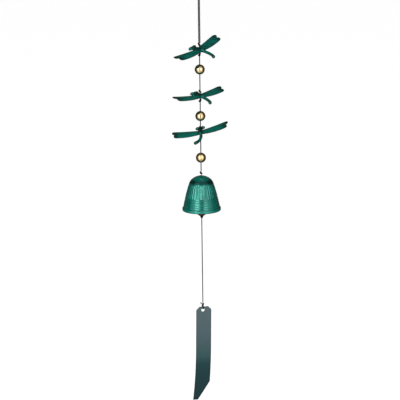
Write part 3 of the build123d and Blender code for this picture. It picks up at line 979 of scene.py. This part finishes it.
class Recipe(Nodes):
    """A material made of nodes, with short ways to add what the ones here need."""

    def __init__(self, name):
        self.material = bpy.data.materials.new(name)
        self.material.use_nodes = True
        super().__init__(self.material.node_tree)
        self.shader = self.tree.nodes["Principled BSDF"]
        self.where = self.node("ShaderNodeTexCoord").outputs["Object"]

    def noise(self, scale, detail=4.0, roughness=0.55, stretch=None):
        where = self.where
        if stretch:
            mapping = self.fill(self.node("ShaderNodeMapping"), Scale=stretch, Vector=where)
            where = mapping.outputs["Vector"]
        values = {"Vector": where, "Scale": scale, "Detail": detail, "Roughness": roughness}
        return self.fill(self.node("ShaderNodeTexNoise"), **values).outputs["Fac"]

    def value(self, name):
        return self.node("ShaderNodeAttribute", attribute_name=name).outputs["Fac"]

    def ramp(self, factor, stops):
        added = self.node("ShaderNodeValToRGB")
        self.feed(added.inputs["Fac"], factor)
        elements = added.color_ramp.elements
        while len(elements) < len(stops):
            elements.new(0.5)
        for element, (place, colour) in zip(elements, stops):
            element.position = place
            element.color = (*colour, 1) if isinstance(colour, tuple) else (*[colour] * 3, 1)
        return added.outputs["Color"]

    def mix(self, factor, first, second):
        added = self.node("ShaderNodeMix", data_type="RGBA")
        self.feed(added.inputs["Factor"], factor)
        for socket, value in ((added.inputs[6], first), (added.inputs[7], second)):
            self.feed(socket, (*value, 1) if isinstance(value, tuple) else value)
        return added.outputs[2]

    def bump(self, height, strength, distance):
        values = {"Strength": strength, "Distance": distance, "Height": height}
        added = self.fill(self.node("ShaderNodeBump"), **values)
        self.fill(self.shader, Normal=added.outputs["Normal"])

    def tint(self, share, factor, first, second):
        """Mixes a share of a second colour in, by a factor."""
        return self.mix(self.math("MULTIPLY", factor, share), first, second)

    def set(self, **values):
        self.fill(self.shader, **values)
        return self.material


def cord_material():
    """Black braid with a little wear, and a fibre grain along it."""
    recipe = Recipe("black_braid")
    fibre = recipe.noise(9000, 3, stretch=(1, 1, 0.25))
    # Paler patches of wear
    paler = recipe.noise(220, 3)
    dark = recipe.mix(fibre, (0.002, 0.002, 0.003), (0.007, 0.006, 0.007))
    # Painted shade: the grooves between the strands are darker than their crests
    colour = recipe.tint(0.35, recipe.value("braid"), dark, (0.011, 0.010, 0.011))
    colour = recipe.tint(0.3, paler, colour, (0.02, 0.018, 0.018))
    recipe.bump(fibre, 0.5, 0.00005)
    rough = recipe.ramp(fibre, [(0.3, 0.6), (0.7, 0.85)])
    return recipe.set(Base_Color=colour, Roughness=rough, Specular_IOR_Level=0.06)


def lacquer_material(name, kind):
    """Glossy green lacquer over cast iron, thin and dark in the hollows."""
    recipe = Recipe(name)
    cloud = recipe.noise(90, 4)
    grain = recipe.noise(1400, 5, 0.6)
    base = recipe.mix(
        recipe.ramp(cloud, [(0.35, 0.0), (0.68, 1.0)]), (0.0, 0.108, 0.082), (0.0, 0.185, 0.146)
    )
    streak = recipe.noise(160, 4, stretch=(1, 1, 0.18) if kind == "bell" else (1, 1, 1))
    base = recipe.mix(recipe.ramp(streak, [(0.45, 0.0), (0.75, 0.55)]), base, (0.002, 0.26, 0.2))
    base = recipe.tint(0.5, recipe.value("relief"), base, (0.006, 0.27, 0.21))
    metallic, coat = 0.35, 0.1
    if kind == "bell":
        drop = recipe.value("drop")
        inner = recipe.math("GREATER_THAN", drop, 1.5)
        # Painted shade: a dark band round the bell's shoulder, broken up by the streaks, with less
        # coat there
        shoulder = recipe.ramp(drop, [(0.07, 0.0), (0.125, 1.0), (0.185, 1.0), (0.23, 0.0)])
        shade_streaks = recipe.ramp(streak, [(0.35, 1.0), (0.7, 0.85)])
        shoulder = recipe.math("MULTIPLY", shoulder, shade_streaks)
        base = recipe.mix(shoulder, base, (0.0, 0.03, 0.027))
        # Painted highlight: the crown and the lip are mixed towards a paler teal
        paler = recipe.ramp(drop, [(0.0, 0.6), (0.07, 0.4), (0.1, 0.0), (0.9, 0.0), (0.96, 0.75)])
        base = recipe.mix(paler, base, (0.008, 0.3, 0.235))
        base = recipe.mix(inner, base, (0.012, 0.018, 0.016))
        metallic = 0.5
        coat = recipe.math("MULTIPLY", recipe.math("SUBTRACT", 1.0, shoulder), 0.6)
    else:
        # Darker wing tips, tail end and wing edges: partly dark paint, partly painted shade
        dark = recipe.math("MAXIMUM", recipe.value("tips"), recipe.value("edges"))
        base = recipe.tint(0.75, dark, base, (0.004, 0.014, 0.012))
        # Darker back and thorax: partly dark paint, partly painted shade
        base = recipe.tint(0.85, recipe.value("spine"), base, (0.002, 0.016, 0.014))
    recipe.set(Metallic=metallic, Coat_Weight=coat, Coat_Roughness=0.1, Specular_IOR_Level=0.25)
    rough = recipe.ramp(recipe.noise(500, 4), [(0.3, 0.2), (0.75, 0.38)])
    recipe.bump(grain, 0.35, 0.00012)
    return recipe.set(Base_Color=base, Roughness=rough)


def brass_material(name, bright, dull, rough_low, rough_high):
    """Turned brass, with fine lines round it and a little tarnish."""
    recipe = Recipe(name)
    tarnish = recipe.noise(260, 5)
    lines = recipe.noise(900, 3, stretch=(0.15, 0.15, 6))
    colour = recipe.mix(recipe.ramp(tarnish, [(0.4, 0.0), (0.75, 1.0)]), bright, dull)
    colour = recipe.tint(0.2, lines, colour, dull)
    rough = recipe.ramp(tarnish, [(0.3, rough_low), (0.8, rough_high)])
    recipe.bump(lines, 0.12, 0.00004)
    return recipe.set(Base_Color=colour, Roughness=rough, Metallic=1)


def card_material():
    """Blue grey card, lighter at the top and darker towards the curled foot by painted shade, with
    a dotted emboss and darker edges.
    """
    recipe = Recipe("tag_card")
    # Painted shade: the card darkens down its length, most where it curls away
    colour = recipe.ramp(
        recipe.value("down"),
        [
            (0.0, (0.100, 0.136, 0.150)),
            (0.27, (0.084, 0.118, 0.132)),
            (0.38, (0.064, 0.104, 0.112)),
            (0.47, (0.046, 0.092, 0.096)),
            (0.53, (0.034, 0.080, 0.084)),
            (0.6, (0.014, 0.046, 0.052)),
            (0.7, (0.011, 0.036, 0.042)),
            (1.0, (0.011, 0.031, 0.035)),
        ],
    )
    paper = recipe.noise(2200, 4)
    blotch = recipe.noise(120, 4)
    for share, factor, tone in (
        (0.25, paper, (0.012, 0.03, 0.034)),
        (0.12, blotch, (0.02, 0.06, 0.062)),
        (0.16, recipe.value("dots"), (0.05, 0.11, 0.115)),
        (0.45, recipe.value("rim"), (0.03, 0.028, 0.035)),
    ):
        colour = recipe.tint(share, factor, colour, tone)
    recipe.bump(paper, 0.3, 0.00005)
    rough = recipe.ramp(paper, [(0.3, 0.5), (0.7, 0.65)])
    return recipe.set(Base_Color=colour, Roughness=rough, Specular_IOR_Level=0.06)


def paint(pieces, material):
    for piece in pieces:
        piece.data.materials.clear()
        piece.data.materials.append(material)


paint(cord_pieces + knot_pieces, cord_material())
paint(dragonflies, lacquer_material("dragonfly_lacquer", "dragonfly"))
paint([bell], lacquer_material("bell_lacquer", "bell"))
paint(beads, brass_material("bead_brass", (0.86, 0.66, 0.37), (0.66, 0.43, 0.19), 0.02, 0.06))
# The clapper's brass is a darker, rougher copy of the beads': its darker colour is painted shade
# from under the bell
paint([clapper], brass_material("clapper_brass", (0.82, 0.62, 0.34), (0.54, 0.38, 0.19), 0.2, 0.38))
paint([tag], card_material())


# Stage and light
floor_z, floor_radius, floor_sides = -780, 14000, 96
WHITE, floor_colour, floor_glow = (1, 1, 1, 1), (0.85, 0.85, 0.85, 1), 0.62
floor_ring = [
    (floor_radius * math.cos(a), floor_radius * math.sin(a), floor_z)
    for a in angles(floor_sides)
]
floor = add_mesh("floor", floor_ring, [tuple(range(floor_sides))], smooth=False)
floor_recipe = Recipe("floor_white")
floor_seen = floor_recipe.node("ShaderNodeLightPath").outputs["Is Camera Ray"]
floor_strength = floor_recipe.math("MULTIPLY", floor_seen, floor_glow)
floor_recipe.set(Base_Color=floor_colour, Roughness=0.9)
paint([floor], floor_recipe.set(Emission_Color=WHITE, Emission_Strength=floor_strength))

# A white sky for the camera and for gloss, and a dimmer one for the light that fills in
fill_strength, shown_strength = 0.36, 1.0
world = bpy.data.worlds.new("studio")
bpy.context.scene.world = world
world.use_nodes = True
sky = Nodes(world.node_tree)
fill = sky.fill(sky.tree.nodes["Background"], Color=WHITE, Strength=fill_strength)
shown = sky.fill(sky.node("ShaderNodeBackground"), Color=WHITE, Strength=shown_strength)
rays = sky.node("ShaderNodeLightPath").outputs
seen = sky.math("MAXIMUM", rays["Is Camera Ray"], rays["Is Glossy Ray"])
seen = sky.math("MAXIMUM", seen, rays["Is Transmission Ray"])
sky_mix = sky.node("ShaderNodeMixShader")
for socket, value in zip(sky_mix.inputs, (seen, fill.outputs[0], shown.outputs[0])):
    sky.feed(socket, value)
sky.fill(sky.tree.nodes["World Output"], Surface=sky_mix.outputs["Shader"])

# Two tall lamps in front, in metres and watts
lamp_width, lamp_height, lamp_reach, lamp_z, lamp_aim_z = 1.5, 2.4, 2.6, 0.35, -0.3
for name, azimuth, power in (("left_light", -27, 52), ("right_light", 25, 27)):
    lamp_data = bpy.data.lights.new(name, "AREA")
    lamp_data.shape = "RECTANGLE"
    lamp_data.size = lamp_width
    lamp_data.size_y = lamp_height
    lamp_data.energy = power
    lamp = link(name, lamp_data)
    turn = math.radians(azimuth)
    lamp.location = (lamp_reach * math.sin(turn), -lamp_reach * math.cos(turn), lamp_z)
    aim = Vector((0, 0, lamp_aim_z)) - lamp.location
    lamp.rotation_euler = aim.to_track_quat("-Z", "Y").to_euler()


def upright(side, reach, low, high):
    """The corners of an upright panel across the view."""
    return [(-side, reach, low), (side, reach, low), (side, reach, high), (-side, reach, high)]


# Dim panels that only gloss sees: round the sides and the back, and one narrow
# strip in front
flag_side, flag_back, flag_front, flag_low, flag_high = 1100, 450, -300, -770, 1000
strip_side, strip_reach, strip_low, strip_high = 540, -2000, -700, 1400
flag_points = upright(flag_side, flag_back, flag_low, flag_high)
flag_points += upright(flag_side, flag_front, flag_low, flag_high)
flag_points += [(-flag_side, 0, flag_high), (flag_side, 0, flag_high)]
flag_faces = [(0, 1, 2, 3), (0, 3, 7, 4), (1, 5, 6, 2), (0, 4, 5, 1), (3, 2, 9, 8)]
strip_points = upright(strip_side, strip_reach, strip_low, strip_high)
flags = [
    add_mesh("flag_behind", flag_points, flag_faces, smooth=False),
    add_mesh("flag_front", strip_points, [(0, 1, 2, 3)], smooth=False),
]
for flag in flags:
    for ray in ("camera", "diffuse", "transmission", "shadow", "volume_scatter"):
        setattr(flag, f"visible_{ray}", False)
flag_colour = (0.07, 0.055, 0.04, 1)
paint(flags, Recipe("flag_dim").set(Base_Color=flag_colour, Roughness=1, Specular_IOR_Level=0))
